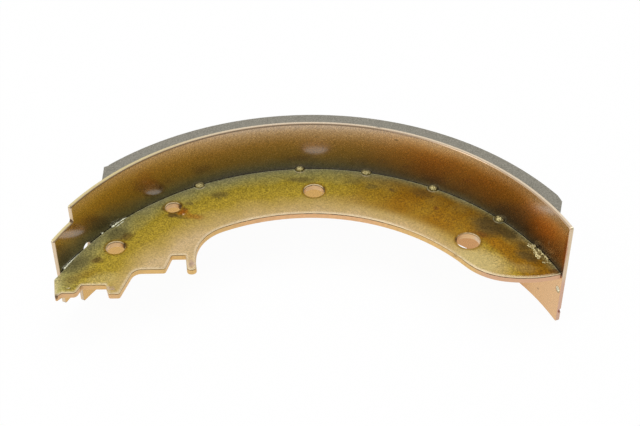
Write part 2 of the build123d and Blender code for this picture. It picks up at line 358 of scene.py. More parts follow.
class Surface(ShaderGraph):
    """A material's tree, with the place being shaded in millimetres and degrees."""

    MIDDLE = (0.5, 0.5, 0.5)
    WOBBLE_DETAIL = 3.0
    BEVEL_SAMPLES = 8

    def __init__(self, tree: bpy.types.NodeTree, shoe: Shoe) -> None:
        """Add the nodes that read the object's own coordinates.

        Args:
            tree: The material's tree.
            shoe: The faces that the coordinates are measured from.
        """
        super().__init__(tree)
        self.point = self.scaled(self.node("ShaderNodeTexCoord", output="Object"), 1.0 / MM)
        x, y, z = (self.part(self.point, axis) for axis in "XYZ")
        across = x - shoe.centre_x / MM
        along = y - shoe.centre_y / MM
        turn = self.node("ShaderNodeMath", {"operation": "ARCTAN2"}, {0: along, 1: across})
        self.angle = self.node("ShaderNodeMath", {"operation": "DEGREES"}, {0: turn})
        self.inset = shoe.rim_inner / MM - (across * across + along * along) ** 0.5
        self.above_web = z - shoe.web_top / MM
        self.facing_up = self.part(self.node("ShaderNodeTexCoord", output="Normal"), "Z")

    def noise(self, per_mm: float, detail: float, output: str = "Fac") -> Socket:
        """Noise from 0 to 1.

        Args:
            per_mm: How many cells of the pattern fit in a millimetre.
            detail: Octaves of finer noise.
            output: "Fac" for one value or "Color" for three.

        Returns:
            The noise.
        """
        inputs = {"Vector": self.point, "Scale": per_mm, "Detail": detail}
        return self.node("ShaderNodeTexNoise", None, inputs, output)

    def roughened(self, per_mm: float, reach: float) -> Socket:
        """Move each point a little, so that what is drawn there has an uneven edge.

        Args:
            per_mm: How fine the unevenness is.
            reach: How far a point moves, in millimetres.

        Returns:
            The moved position.
        """
        wobble = self.noise(per_mm, self.WOBBLE_DETAIL, "Color")
        centred = self.vector("SUBTRACT", wobble, self.MIDDLE)
        return self.vector("ADD", self.point, self.scaled(centred, 2.0 * reach))

    def distance(self, point: Point, place: Socket | None = None) -> Socket:
        """Distance of a fixed point from a position, or else from the surface, in millimetres."""
        return self.vector("DISTANCE", place or self.point, point, "Value")

    def edges(self, reach: float) -> Socket:
        """How far the surface turns close by.

        Args:
            reach: How far round a point to look, in metres.

        Returns:
            0 on a flat, and more near an edge.
        """
        eased = self.node("ShaderNodeBevel", {"samples": self.BEVEL_SAMPLES}, {"Radius": reach})
        true = self.node("ShaderNodeNewGeometry", output="True Normal")
        return 1.0 - self.vector("DOT_PRODUCT", eased, true, "Value")

    def speckled(self, colour: Any, grain: Socket, depth: Operand) -> Socket:
        """Lighten and darken a colour by a grain.

        Args:
            colour: The colour under the grain.
            grain: Noise about a middle of 0.5.
            depth: Share of the colour that the grain adds or takes.

        Returns:
            The speckled colour.
        """
        level = 1.0 + (grain - 0.5) * depth * 2.0
        grey = self.node("ShaderNodeCombineColor", None, {0: level, 1: level, 2: level})
        return self.blend(1.0, colour, grey, "MULTIPLY")

    def bumped(self, height: Socket, distance: float, strength: float) -> Socket:
        """Normal of a bumped surface.

        Args:
            height: Height map from 0 to 1.
            distance: Depth of the relief, in metres.
            strength: Share of the relief that shows.

        Returns:
            The normal.
        """
        inputs = {"Height": height, "Distance": distance, "Strength": strength}
        return self.node("ShaderNodeBump", None, inputs)


@dataclass(frozen=True)
class Stain:
    """A blotch with a soft, uneven edge, on any face of the steel."""

    place: Point
    reach: Point
    colour: Colour
    strength: float
    turn: float = 0.0

    HARD_CORE = 0.3

    def over(self, at: Surface, below: Socket, place: Socket) -> Socket:
        """Lay the blotch over a colour.

        Args:
            at: The tree and the place being shaded.
            below: The colour under it.
            place: Position in millimetres, already roughened by noise.

        Returns:
            The colour with the blotch.
        """
        inputs = {"Vector": place, "Location": self.place, "Scale": self.reach}
        inputs["Rotation"] = (0.0, 0.0, radians(self.turn))
        local = at.node("ShaderNodeMapping", {"vector_type": "TEXTURE"}, inputs)
        away = at.vector("LENGTH", local, output="Value")
        return at.blend(away.ramp(1.0, self.HARD_CORE) * self.strength, below, self.colour)


# ---------------------------------------------------------------- finishes


class Finish(ABC):
    """A material that is built from nodes."""

    name: str

    def material(self, shoe: Shoe) -> bpy.types.Material:
        """Build the finish.

        Args:
            shoe: The faces that its pattern follows.

        Returns:
            The finished material.
        """
        material = bpy.data.materials.new(self.name)
        material.use_nodes = True
        at = Surface(material.node_tree, shoe)
        shader = at.node("ShaderNodeBsdfPrincipled", None, self.paint(at))
        at.node("ShaderNodeOutputMaterial", None, {"Surface": shader})
        return material

    @abstractmethod
    def paint(self, at: Surface) -> dict[str, Any]:
        """Work out the shader's sockets.

        Args:
            at: The tree and the place being shaded.

        Returns:
            A value or link for each socket of the shader.
        """


@dataclass(frozen=True)
class WebPlate(Finish):
    """Yellow passivated zinc on the stamped web, tinted by the bath and the heat of the welds."""

    holes: tuple[Hole, ...]
    scallops: tuple[Point, ...]
    stains: tuple[Stain, ...]
    name: str = "web_yellow_zinc"
    depth: float = 33.0
    scallop_radius: float = 2.5

    BY_DEPTH = (
        (0.00, srgb(172, 165, 116)),
        (0.15, srgb(173, 163, 92)),
        (0.35, srgb(172, 150, 46)),
        (0.57, srgb(172, 147, 46)),
        (0.77, srgb(186, 159, 88)),
        (0.91, srgb(194, 167, 110)),
        (1.00, srgb(202, 175, 128)),
    )
    AMBER = srgb(146, 104, 6)
    HOLE_TINT = srgb(140, 104, 22)
    PAINTED_EDGE_HIGHLIGHT = srgb(232, 212, 172)
    PAINTED_ROLL_HIGHLIGHT = srgb(246, 226, 192)
    PAINTED_JUNCTION_HIGHLIGHT = srgb(192, 188, 150)
    PAINTED_EDGE_SHADE = srgb(72, 48, 20)
    SHEARED = srgb(241, 190, 138)
    SHEARED_GOLD = srgb(236, 194, 124)
    SHEARED_PINK = srgb(226, 178, 148)
    HOLE_SIDE = srgb(242, 203, 150)
    UNDERSIDE = srgb(190, 162, 96)
    CHIP_AND_SHADE_BROWN = srgb(66, 40, 12)
    PAINTED_GLINT = srgb(232, 210, 180)

    # Noises, how finely and how far marks are roughened, and what the noises act by
    FINE = (1.6, 1.0)
    BROAD = (0.6, 2.0)
    DRIFT = (0.07, 2.0)
    LINE_GAP_NOISE = (0.5, 2.0)
    STAIN_WOBBLE = (0.4, 2.2)
    MARK_WOBBLE = (1.1, 0.5)
    FINE_SHARE = 0.8
    DRIFT_REACH = 9.0
    # Fades and bands over the angle about the drum's axis
    CROWN = 88.0
    GOLD_FROM_CROWN = (14.0, 34.0)
    LEFT = (104.0, 122.0)
    QUIET = (39.0, 56.0, 8.0)
    TOE = (43.0, 37.0)
    TOE_TIP = (33.0, 27.0)
    HEEL_TIP = (156.0, 160.0)
    AMBER_ANGLES = (88.0, 62.0)
    # Over the inset from the rim
    RIM_SIDE = (0.2, 0.55, 0.2)
    ROLL_INSETS = (1.5, 4.0)
    AMBER_INSETS = (5.0, 21.5, 7.0)
    TOE_INSETS = (14.0, 19.0)
    PALE_INSETS = (17.0, 26.0)
    # Over the distance beyond a hole's or a scallop's radius
    HOLE_RING = (0.0, 1.1, 0.9)
    HOLE_WALL = (0.9, 0.6)
    OFF_HOLE = (1.6, 2.6)
    SCALLOP_EDGE = (0.0, 0.45, 0.2)
    # Over the turn of the surface near an edge, the height, and the way that a face looks
    ROLL_REACH = 1.8 * MM
    ROLL = (0.02, 0.12, 0.012)
    SHADE_LINE = (-0.7, -0.25, 0.08)
    TURNED_DOWN = (0.0, -0.5)
    CORNER = (0.45, 0.9, 0.05)
    UPRIGHT = (0.45, 0.25)
    # Over noise
    BREAKS = (0.25, 0.6)
    LINE_GAPS = (0.35, 0.65)
    # Strengths. A pair is the strength where what it depends on is 0 and where it is 1.
    FACE_GRAIN = (1.2, 0.6)
    SIDE_GRAIN = 0.18
    UNDERSIDE_GRAIN = 0.9
    AMBER_LEVEL = 0.9
    AMBER_OFF_TOE = (1.0, 0.2)
    HOLE_TINTED = 0.7
    PINK = 0.8
    LINE_SHOWN = (0.2, 0.75)
    BROKEN_LEFT = (1.0, 0.65)
    ROLL_LEAST = 0.4
    ROLL_LEFT = (1.0, 0.6)
    ROLL_QUIET = 0.7
    CORNER_LIT = (0.35, 1.0)
    CORNER_QUIET = 0.3
    SHADE_LINE_SHOWN = (0.35, 0.95)
    SHADE_LINE_QUIET = (1.0, 0.6)

    def paint(self, at: Surface) -> dict[str, Any]:
        """Work out the shader's sockets.

        Args:
            at: The tree and the place being shaded.

        Returns:
            A value or link for each socket of the shader.
        """
        fine = at.noise(*self.FINE)
        broad = at.noise(*self.BROAD)
        grain = fine * self.FINE_SHARE + broad * (1.0 - self.FINE_SHARE)
        left = at.angle.ramp(*self.LEFT)
        quiet = at.angle.band(*self.QUIET)
        broken = broad.ramp(*self.BREAKS) * left.between(*self.BROKEN_LEFT)

        depth = at.inset.ramp(*self.PALE_INSETS).between(*self.FACE_GRAIN)
        face = at.speckled(self._face(at), grain, depth)
        # Painted highlight: a pale line along the rolled upper edge, kept off the rim side and the
        # holes.
        roll = at.edges(self.ROLL_REACH).band(*self.ROLL) * at.inset.ramp(*self.ROLL_INSETS)
        roll = roll * (self.ROLL_LEAST + broad)
        roll = roll * (left.between(*self.ROLL_LEFT) - quiet * self.ROLL_QUIET)
        for hole in self.holes:
            roll = roll * hole.away(at).ramp(*self.OFF_HOLE)
        face = at.blend(roll, face, self.PAINTED_ROLL_HIGHLIGHT)
        underside = at.speckled(self.UNDERSIDE, grain, self.UNDERSIDE_GRAIN)
        colour = at.blend(at.facing_up.ramp(*self.TURNED_DOWN), face, underside)

        up = at.facing_up.size()
        # Painted highlight on the faces that round the edges, patchy by noise and weaker in the
        # quiet stretch.
        lit = broken.between(*self.CORNER_LIT) - quiet * self.CORNER_QUIET
        colour = at.blend(up.band(*self.CORNER) * lit, colour, self.PAINTED_EDGE_HIGHLIGHT)
        # Painted shade: a dark line along the sides just under the upper edge, patchy by noise.
        dark = broken.between(*self.SHADE_LINE_SHOWN) * quiet.between(*self.SHADE_LINE_QUIET)
        side = self._side(at, broad)
        side = at.blend(at.above_web.band(*self.SHADE_LINE) * dark, side, self.PAINTED_EDGE_SHADE)
        colour = at.blend(up.ramp(*self.UPRIGHT), colour, side)
        near = at.roughened(*self.MARK_WOBBLE)
        for mark in self._hole_shade_glint_and_chips():
            colour = mark.over(at, colour, near)
        return {
            "Base Color": colour,
            "Metallic": 0.3,
            "Specular IOR Level": 0.22,
            "Roughness": 0.4 + (grain - 0.5) * 0.3,
            "Normal": at.bumped(fine, distance=0.05 * MM, strength=0.6),
        }

    def _face(self, at: Surface) -> Socket:
        """Colour of the upper face, with a painted highlight along the rim and round the scallops.

        Args:
            at: The tree and the place being shaded.

        Returns:
            The colour, without its grain.
        """
        drift = at.noise(*self.DRIFT) - 0.5
        share = (at.inset + drift * self.DRIFT_REACH) / self.depth
        face = at.colours(share, self.BY_DEPTH)
        toe = at.angle.ramp(*self.TOE) * at.inset.ramp(*self.TOE_INSETS)
        amber = at.angle.ramp(*self.AMBER_ANGLES) * at.inset.band(*self.AMBER_INSETS)
        amber = amber * toe.between(*self.AMBER_OFF_TOE) * (self.AMBER_LEVEL + drift)
        face = at.blend(amber, face, self.AMBER)
        uneven = at.roughened(*self.STAIN_WOBBLE)
        for stain in self.stains:
            face = stain.over(at, face, uneven)
        for hole in self.holes:
            ring = hole.away(at).band(*self.HOLE_RING)
            face = at.blend(ring * self.HOLE_TINTED, face, self.HOLE_TINT)
        # Painted highlight along the rim side and the scallops' edges, with gaps by noise.
        edge = at.inset.band(*self.RIM_SIDE)
        for scallop in self.scallops:
            away = at.distance(scallop) - self.scallop_radius
            edge = edge.larger(away.band(*self.SCALLOP_EDGE))
        gaps = at.noise(*self.LINE_GAP_NOISE).ramp(*self.LINE_GAPS)
        return at.blend(edge * gaps.between(*self.LINE_SHOWN), face, self.PAINTED_JUNCTION_HIGHLIGHT)

    def _side(self, at: Surface, broad: Socket) -> Socket:
        """Colour of the sheared sides and of the holes' walls.

        Args:
            at: The tree and the place being shaded.
            broad: The broad noise.

        Returns:
            The colour, without the painted shade line under the upper edge.
        """
        gold = (at.angle - self.CROWN).size().ramp(*self.GOLD_FROM_CROWN)
        side = at.blend(gold, self.SHEARED, self.SHEARED_GOLD)
        side = at.speckled(side, broad, self.SIDE_GRAIN)
        for hole in self.holes:
            side = at.blend(hole.away(at).ramp(*self.HOLE_WALL), side, self.HOLE_SIDE)
        pink = at.angle.ramp(*self.TOE_TIP) + at.angle.ramp(*self.HEEL_TIP) * broad
        return at.blend(pink * self.PINK, side, self.SHEARED_PINK)

    def _hole_shade_glint_and_chips(self) -> tuple[Stain, ...]:
        """Place the marks that cross an edge.

        Returns:
            Painted shade on the holes' walls and edges, a painted glint in one of them, and chips.
        """
        brown, glint_colour = self.CHIP_AND_SHADE_BROWN, self.PAINTED_GLINT
        cable, spring, hold_down, lever = self.holes
        return (
            # Painted shade on the holes' walls and edges
            Stain(cable.rim_point(22.0), (2.3, 3.0, 3.4), brown, 1.0),
            Stain(spring.rim_point(22.0), (2.0, 2.6, 3.4), brown, 1.0),
            Stain(spring.rim_point(-80.0, 1.6), (3.4, 1.2, 0.8), brown, 0.8),
            Stain(hold_down.rim_point(10.0, 1.4), (0.9, 3.2, 1.0), brown, 0.8),
            Stain(hold_down.rim_point(176.0, 1.4), (0.8, 2.4, 1.0), brown, 0.6),
            Stain(lever.rim_point(174.0, 1.0), (1.2, 3.2, 1.6), brown, 0.95),
            # Painted glint on the lever hole's wall
            Stain(lever.rim_point(30.0, -0.2), (2.8, 3.0, 1.8), glint_colour, 0.85),
            # Chips
            Stain((-110.3, -68.8, 0.8), (1.3, 1.5, 1.8), brown, 0.75),
            Stain((-100.4, -62.9, 0.3), (1.2, 1.4, 1.8), brown, 0.45),
            Stain((60.9, -46.6, 0.4), (1.9, 1.9, 1.3), brown, 0.4),
            Stain((62.6, -48.8, -0.8), (0.9, 0.9, 0.8), brown, 0.55),
        )


@dataclass(frozen=True)
class BareSpot:
    """A spot where the plating is gone."""

    place: Point
    reach: float
    colour: Colour


@dataclass(frozen=True)
class RimPlate(Finish):
    """Yellow passivated zinc on the rolled rim, smoother than the web so it mirrors it; inside,
    painted shade and reflection.
    """

    stains: tuple[Stain, ...]
    height: float
    bare_spots: tuple[BareSpot, ...]
    name: str = "rim_yellow_zinc"
    end_hole: Point = (106.4, -58.8, -8.4)
    tack: Point = (100.0, -46.5, 5.0)

    # The inside's colour by height: the plating's tint, darkened by painted shade towards the web
    # and paled by painted reflection towards the top.
    INSIDE_TINT_AND_PAINTED_SHADE = (
        (0.00, srgb(86, 84, 92)),
        (0.12, srgb(96, 88, 80)),
        (0.30, srgb(132, 105, 70)),
        (0.62, srgb(171, 134, 78)),
        (0.86, srgb(194, 164, 124)),
        (1.00, srgb(198, 172, 138)),
    )
    LEFT_GOLD = (1.0, 0.9, 0.26, 1.0)
    RIGHT_RUST = (0.92, 0.65, 0.22, 1.0)
    END_RUST = (1.62, 1.12, 0.6, 1.0)
    LOW_LEFT = (0.6, 0.58, 0.56, 1.0)
    PAINTED_REFLECTION_TOP = srgb(214, 178, 134)
    BELOW_WEB = srgb(226, 181, 128)
    BELOW_WEB_TAN = srgb(210, 158, 104)
    BELOW_WEB_GOLD = srgb(221, 176, 104)
    EDGE_LEFT = srgb(224, 204, 140)
    EDGE_RIGHT = srgb(232, 210, 178)
    EDGE_LINE = srgb(160, 122, 72)
    CUT_END = srgb(234, 208, 172)
    CUT_END_LOW = srgb(224, 180, 152)
    # Painted light for the end hole's wall
    HOLE_WALL = srgb(255, 249, 226)
    LIP_DARK = srgb(112, 80, 26)
    LIP_LIGHT = srgb(204, 170, 130)
    OUTER_CORNER = srgb(196, 182, 142)
    BACK = srgb(206, 176, 122)

    # Noises, how finely and how far marks are roughened, and what the noises act by
    FINE = (1.7, 2.0)
    DRIFT = (0.06, 2.0)
    EDGE_NOISE = (0.9, 2.0)
    MARK_WOBBLE = (0.9, 0.5)
    DRIFT_REACH = 4.0
    # Fades and bands over the angle about the drum's axis
    LEFT = (98.0, 140.0)
    FAR_LEFT = (128.0, 141.0)
    MIDDLE_STRETCH = (84.0, 98.0, 22.0)
    RIGHT = (40.0, 60.0, 18.0)
    END = (40.0, 24.0)
    GOLD_BELOW = (50.0, 62.0)
    TAN_BELOW = (28.0, 34.0)
    LIP_PALES = (66.0, 50.0)
    # Over the share of the inside's height
    OFF_WEB = (0.05, 0.5)
    LOW = (0.6, 0.2)
    NEAR_TOP = (0.7, 0.9)
    TOP = (0.8, 1.0)
    # Over the height above the web or, for the lip, above the rim's upper edge
    UNDER_WEB = (-0.5, -2.5)
    CUT_END_DOWN = (0.0, -6.0)
    LIP = (-0.75, -0.45)
    GLOSSY = (-3.0, -1.0)
    # Over the inset, which is negative inside the plate
    OUTSIDE = (-1.0, -1.7)
    CUT = (-1.88, -0.12, 0.05)
    OUTER_HALF = (-0.8, -1.2)
    INNER_LINE = (-0.9, -0.45)
    HOLE_MOUTH = (-0.2, -0.05)
    HOLE_DEPTH = (-1.9, -0.05, 0.04)
    # Over the way that a face looks
    UPRIGHT = (0.45, 0.25)
    CORNER = (0.3, 0.9, 0.05)
    EDGE = (0.86, 0.97)
    # Over the distance from the end hole and from the tack
    HOLE_RING = (1.6, 1.9, 0.25)
    HOLE_EDGE = (2.0, 1.6)
    SCORCHED = (17.0, 10.0)
    # Strengths. A pair is the strength where what it depends on is 0 and where it is 1.
    # Narrows the painted shade near the web at the right end.
    END_LIFT = 0.07
    TINT_OFF_WEB = (0.5, 1.0)
    TINT_TO_TOP = (1.0, 0.05)
    PALED = 0.38
    INSIDE_GRAIN = 0.9
    BELOW_GRAIN = 0.2
    BACK_GRAIN = 0.6
    EDGE_GRAIN = 0.2
    LIP_SHOWN = 0.85
    LINE_LEFT = (0.8, 0.45)
    RING_SHOWN = 0.6
    BARE_CORE = 0.6

    def paint(self, at: Surface) -> dict[str, Any]:
        """Work out the shader's sockets.

        Args:
            at: The tree and the place being shaded.

        Returns:
            A value or link for each socket of the shader.
        """
        fine = at.noise(*self.FINE)
        drift = at.noise(*self.DRIFT) - 0.5
        lip = at.blend(at.angle.ramp(*self.LIP_PALES), self.LIP_DARK, self.LIP_LIGHT)
        inside = self._inside(at, fine, drift)
        shown = (at.above_web - self.height).ramp(*self.LIP) * self.LIP_SHOWN
        inside = at.blend(shown, inside, lip)
        back = at.blend(drift + 0.5, self.BACK, self.BELOW_WEB_GOLD)
        back = at.speckled(back, fine, self.BACK_GRAIN)
        outside = at.inset.ramp(*self.OUTSIDE)
        colour = at.blend(outside, inside, back)

        up = at.facing_up.size()
        cut = at.inset.band(*self.CUT) * up.ramp(*self.UPRIGHT)
        right = at.angle.band(*self.RIGHT).larger(at.angle.ramp(*self.END))
        low = at.above_web.ramp(*self.CUT_END_DOWN) * right
        colour = at.blend(cut, colour, at.blend(low, self.CUT_END, self.CUT_END_LOW))
        corner = at.blend(at.inset.ramp(*self.OUTER_HALF), lip, self.OUTER_CORNER)
        colour = at.blend(up.band(*self.CORNER), colour, corner)
        colour = at.blend(up.ramp(*self.EDGE), colour, self._edge(at))
        near = at.roughened(*self.MARK_WOBBLE)
        for stain in self.stains:
            colour = stain.over(at, colour, near)
        away = at.distance(self.end_hole)
        # Painted shade round the end hole's mouth.
        ring = away.band(*self.HOLE_RING) * at.inset.ramp(*self.HOLE_MOUTH)
        colour = at.blend(ring * self.RING_SHOWN, colour, self.LIP_DARK)
        # Painted light on the end hole's wall, which also counts as bare, so it is less metallic.
        wall = away.ramp(*self.HOLE_EDGE) * at.inset.band(*self.HOLE_DEPTH)
        colour = at.blend(wall, colour, self.HOLE_WALL)
        bare = cut.larger(wall)
        for spot in self.bare_spots:
            away = at.distance(spot.place, near)
            patch = away.ramp(spot.reach, spot.reach * self.BARE_CORE)
            colour = at.blend(patch, colour, spot.colour)
            bare = bare.larger(patch)
        scorched = at.distance(self.tack).ramp(*self.SCORCHED)
        glossy = (at.above_web.ramp(*self.GLOSSY) * (1.0 - scorched)).larger(outside)
        return {
            "Base Color": colour,
            "Metallic": 0.8 - bare * 0.65,
            "Roughness": 0.26 + (fine - 0.5) * 0.1,
            "Coat Weight": (1.0 - bare) * glossy,
            "Coat Roughness": 0.13,
            "Coat IOR": 1.85,
            "Normal": at.bumped(fine, distance=0.03 * MM, strength=0.4),
        }

    def _inside(self, at: Surface, fine: Socket, drift: Socket) -> Socket:
        """Colour of the inner face, above and below the web, with painted shade and painted
        reflection.

        Args:
            at: The tree and the place being shaded.
            fine: The fine noise.
            drift: Very broad noise about 0.

        Returns:
            The colour with its grain.
        """
        end = at.angle.ramp(*self.END)
        share = (at.above_web + drift * self.DRIFT_REACH) / self.height + end * self.END_LIFT
        to_top = share.ramp(*self.TOP).between(*self.TINT_TO_TOP)
        tinted = share.ramp(*self.OFF_WEB).between(*self.TINT_OFF_WEB) * to_top
        tints = (
            (at.angle.ramp(*self.LEFT) * to_top, self.LEFT_GOLD),
            (at.angle.band(*self.RIGHT) * tinted, self.RIGHT_RUST),
            (end * tinted, self.END_RUST),
            (at.angle.ramp(*self.FAR_LEFT) * share.ramp(*self.LOW), self.LOW_LEFT),
        )
        inside = at.colours(share, self.INSIDE_TINT_AND_PAINTED_SHADE)
        for strength, tint in tints:
            inside = at.blend(strength, inside, tint, "MULTIPLY")
        # Painted reflection: paler near the top, except in the middle stretch.
        sides = 1.0 - at.angle.band(*self.MIDDLE_STRETCH)
        pale = sides * share.ramp(*self.NEAR_TOP) * self.PALED
        inside = at.blend(pale, inside, self.PAINTED_REFLECTION_TOP)
        inside = at.speckled(inside, fine, self.INSIDE_GRAIN)
        gold = at.angle.ramp(*self.GOLD_BELOW)
        below = at.blend(gold, self.BELOW_WEB_TAN, self.BELOW_WEB_GOLD)
        below = at.blend(at.angle.ramp(*self.TAN_BELOW), self.BELOW_WEB, below)
        below = at.speckled(below, fine, self.BELOW_GRAIN)
        return at.blend(at.above_web.ramp(*self.UNDER_WEB), inside, below)

    def _edge(self, at: Surface) -> Socket:
        """Colour of the rim's upper and lower edges, with the dark line along their inner side.

        Args:
            at: The tree and the place being shaded.

        Returns:
            The colour with its grain.
        """
        left = at.angle.ramp(*self.LEFT)
        edge = at.blend(left, self.EDGE_RIGHT, self.EDGE_LEFT)
        grain = at.noise(*self.EDGE_NOISE)
        edge = at.speckled(edge, grain, self.EDGE_GRAIN)
        line = at.inset.ramp(*self.INNER_LINE) * left.between(*self.LINE_LEFT)
        return at.blend(line, edge, self.EDGE_LINE)


@dataclass(frozen=True)
class FrictionBlock(Finish):
    """Moulded friction material: resin, fibre and filler, rubbed flat on the working face."""

    name: str = "friction_material"

    BODY = srgb(137, 133, 121)
    FILLER = srgb(166, 162, 150)
    FIBRE = srgb(100, 96, 84)
    GLUE = srgb(138, 112, 76)
    BROAD = (0.25, 3.0)
    FINE = (1.3, 2.0)
    FLECKS = (2.0, 1.0)
    WORN = (0.4, 0.75)
    FILLER_FLECKS = (0.58, 0.68)
    FIBRE_FLECKS = (0.42, 0.32)
    GLUE_LINE = (-2.5, -2.0, 0.2)
    GLUE_ANGLES = (118.0, 136.0)
    WORN_SHOWN = 0.25
    FILLER_SHOWN = 0.55
    FIBRE_SHOWN = 0.5
    GLUE_SHOWN = 0.7
    GRAIN = 0.6

    def paint(self, at: Surface) -> dict[str, Any]:
        """Work out the shader's sockets.

        Args:
            at: The tree and the place being shaded.

        Returns:
            A value or link for each socket of the shader.
        """
        broad = at.noise(*self.BROAD)
        fine = at.noise(*self.FINE)
        fleck = at.noise(*self.FLECKS)
        colour = at.blend(broad.ramp(*self.WORN) * self.WORN_SHOWN, self.BODY, self.FIBRE)
        filler = fleck.ramp(*self.FILLER_FLECKS) * self.FILLER_SHOWN
        colour = at.blend(filler, colour, self.FILLER)
        fibre = fleck.ramp(*self.FIBRE_FLECKS) * self.FIBRE_SHOWN
        colour = at.blend(fibre, colour, self.FIBRE)
        colour = at.speckled(colour, fine, self.GRAIN)
        glue = at.inset.band(*self.GLUE_LINE) * at.angle.ramp(*self.GLUE_ANGLES)
        colour = at.blend(glue * self.GLUE_SHOWN, colour, self.GLUE)
        return {
            "Base Color": colour,
            "Metallic": 0.0,
            "Roughness": 0.86 + (fine - 0.5) * 0.12,
            "Normal": at.bumped(fine * 0.6 + fleck * 0.4, distance=0.12 * MM, strength=0.7),
        }


@dataclass(frozen=True)
class WeldMetal(Finish):
    """Weld metal with painted light and shade, patchy by noise: bright on its crowns, dull in its
    creases.
    """

    name: str
    crown: Colour
    flank: Colour
    crease: Colour
    patchy: float

    FINE = (1.5, 2.0)
    PATCH_REACH = 3.0
    FLANK_LIT = (-0.1, 0.3)
    CROWN_LIT = (0.3, 0.85)

    def paint(self, at: Surface) -> dict[str, Any]:
        """Work out the shader's sockets.

        Args:
            at: The tree and the place being shaded.

        Returns:
            A value or link for each socket of the shader.
        """
        fine = at.noise(*self.FINE)
        # Painted light and shade: the colour follows how far the surface faces up.
        lit = at.facing_up + (fine - 0.5) * (self.PATCH_REACH * self.patchy)
        colour = at.blend(lit.ramp(*self.FLANK_LIT), self.crease, self.flank)
        colour = at.blend(lit.ramp(*self.CROWN_LIT), colour, self.crown)
        return {
            "Base Color": colour,
            "Metallic": 0.6,
            "Roughness": 0.36,
            "Normal": at.bumped(fine, distance=0.05 * MM, strength=0.5),
        }


# ---------------------------------------------------------------- modelling


class Bench:
    """The operators that shape a new piece, each run with nothing else selected."""

    SAME_POINT = 0.0005 * MM
    SMOOTH_BELOW = radians(40.0)

    @staticmethod
    def clear() -> None:
        """Leave edit mode and deselect everything."""
        if bpy.context.object and bpy.context.object.mode != "OBJECT":
            bpy.ops.object.mode_set(mode="OBJECT")
        bpy.ops.object.select_all(action="DESELECT")

    @classmethod
    def take(cls, piece: bpy.types.Object) -> None:
        """Select one object and nothing else.

        Args:
            piece: The object.
        """
        cls.clear()
        piece.select_set(True)
        bpy.context.view_layer.objects.active = piece

    @classmethod
    def settle(cls, piece: bpy.types.Object) -> None:
        """Move an object's place, turn and size into its mesh."""
        cls.take(piece)
        bpy.ops.object.transform_apply(location=True, rotation=True, scale=True)

    @classmethod
    @contextmanager
    def editing(cls, piece: bpy.types.Object) -> Iterator[None]:
        """Edit one mesh, with all of it selected at the start.

        Args:
            piece: The mesh to work on.

        Yields:
            Nothing; edit mode lasts as long as the block.
        """
        cls.take(piece)
        bpy.ops.object.mode_set(mode="EDIT")
        bpy.ops.mesh.select_all(action="SELECT")
        yield
        bpy.ops.object.mode_set(mode="OBJECT")

    @classmethod
    def modify(cls, piece: bpy.types.Object, kind: str, **settings: Any) -> None:
        """Put a modifier on a piece and apply it.

        Args:
            piece: The mesh to work on.
            kind: The modifier's type.
            settings: Its properties.
        """
        cls.take(piece)
        modifier = piece.modifiers.new(kind.lower(), kind)
        for name, value in settings.items():
            setattr(modifier, name, value)
        bpy.ops.object.modifier_apply(modifier=modifier.name)

    @classmethod
    def lump(cls, place: Vector, reach: Vector, turn: float) -> bpy.types.Object:
        """Add one rounded lump.

        Args:
            place: Its middle.
            reach: Its half sizes.
            turn: Its turn about Z, in degrees.

        Returns:
            The lump, as a mesh of its own.
        """
        cls.clear()
        bpy.ops.mesh.primitive_ico_sphere_add(subdivisions=3, radius=1.0, location=place)
        lump = bpy.context.object
        lump.scale = reach
        lump.rotation_euler = (0.0, 0.0, radians(turn))
        cls.settle(lump)
        return lump

    @classmethod
    def join(cls, name: str, pieces: Sequence[bpy.types.Object]) -> bpy.types.Object:
        """Join several meshes into one.

        Args:
            name: The name of the result.
            pieces: What is joined.

        Returns:
            The joined object.
        """
        cls.take(pieces[0])
        for piece in pieces:
            piece.select_set(True)
        if len(pieces) > 1:
            bpy.ops.object.join()
        joined = bpy.context.object
        joined.name = name
        joined.data.name = name
        return joined

    @classmethod
    def roughen(cls, piece: bpy.types.Object, depth: float, grain: float) -> None:
        """Make a skin uneven, then take off the sharpest points.

        Args:
            piece: The mesh to work on.
            depth: Depth of the unevenness.
            grain: Size of the unevenness.
        """
        clouds = bpy.data.textures.new(f"{piece.name}_grain", "CLOUDS")
        clouds.noise_scale = grain
        look = {"texture": clouds, "texture_coords": "LOCAL", "mid_level": 0.5}
        cls.modify(piece, "DISPLACE", strength=depth, **look)
        cls.modify(piece, "SMOOTH", factor=0.4, iterations=1)
        bpy.data.textures.remove(clouds)

    @classmethod
    def cut(cls, piece: bpy.types.Object, point: Vector, normal: Vector) -> None:
        """Cut a piece by a plane, drop what lies beyond it and close the cut.

        Args:
            piece: The mesh to work on.
            point: A point on the plane.
            normal: The plane's normal, towards what is dropped.
        """
        with cls.editing(piece):
            bpy.ops.mesh.bisect(plane_co=point, plane_no=normal, use_fill=True, clear_outer=True)

    @classmethod
    def finish(cls, piece: bpy.types.Object, node: str, metal: bpy.types.Material) -> None:
        """Close and smooth a piece, give it its finish and put it in place of its node.

        Args:
            piece: The shaped piece.
            node: The CAD node that it stands for.
            metal: Its finish.
        """
        with cls.editing(piece):
            bpy.ops.mesh.remove_doubles(threshold=cls.SAME_POINT)
            bpy.ops.mesh.normals_make_consistent(inside=False)
        bpy.ops.object.shade_smooth_by_angle(angle=cls.SMOOTH_BELOW)
        piece.data.materials.clear()
        piece.data.materials.append(metal)
        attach(piece, BODY)
        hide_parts(node)
        LOG.info("%s: %d faces", piece.name, len(piece.data.polygons))


@dataclass(frozen=True)
class Lump:
    """One drop of weld metal in the corner of rim and web, in degrees and millimetres."""

    angle: float
    inset: float
    across: float
    along: float
    rise: float
    turn: float = 0.0


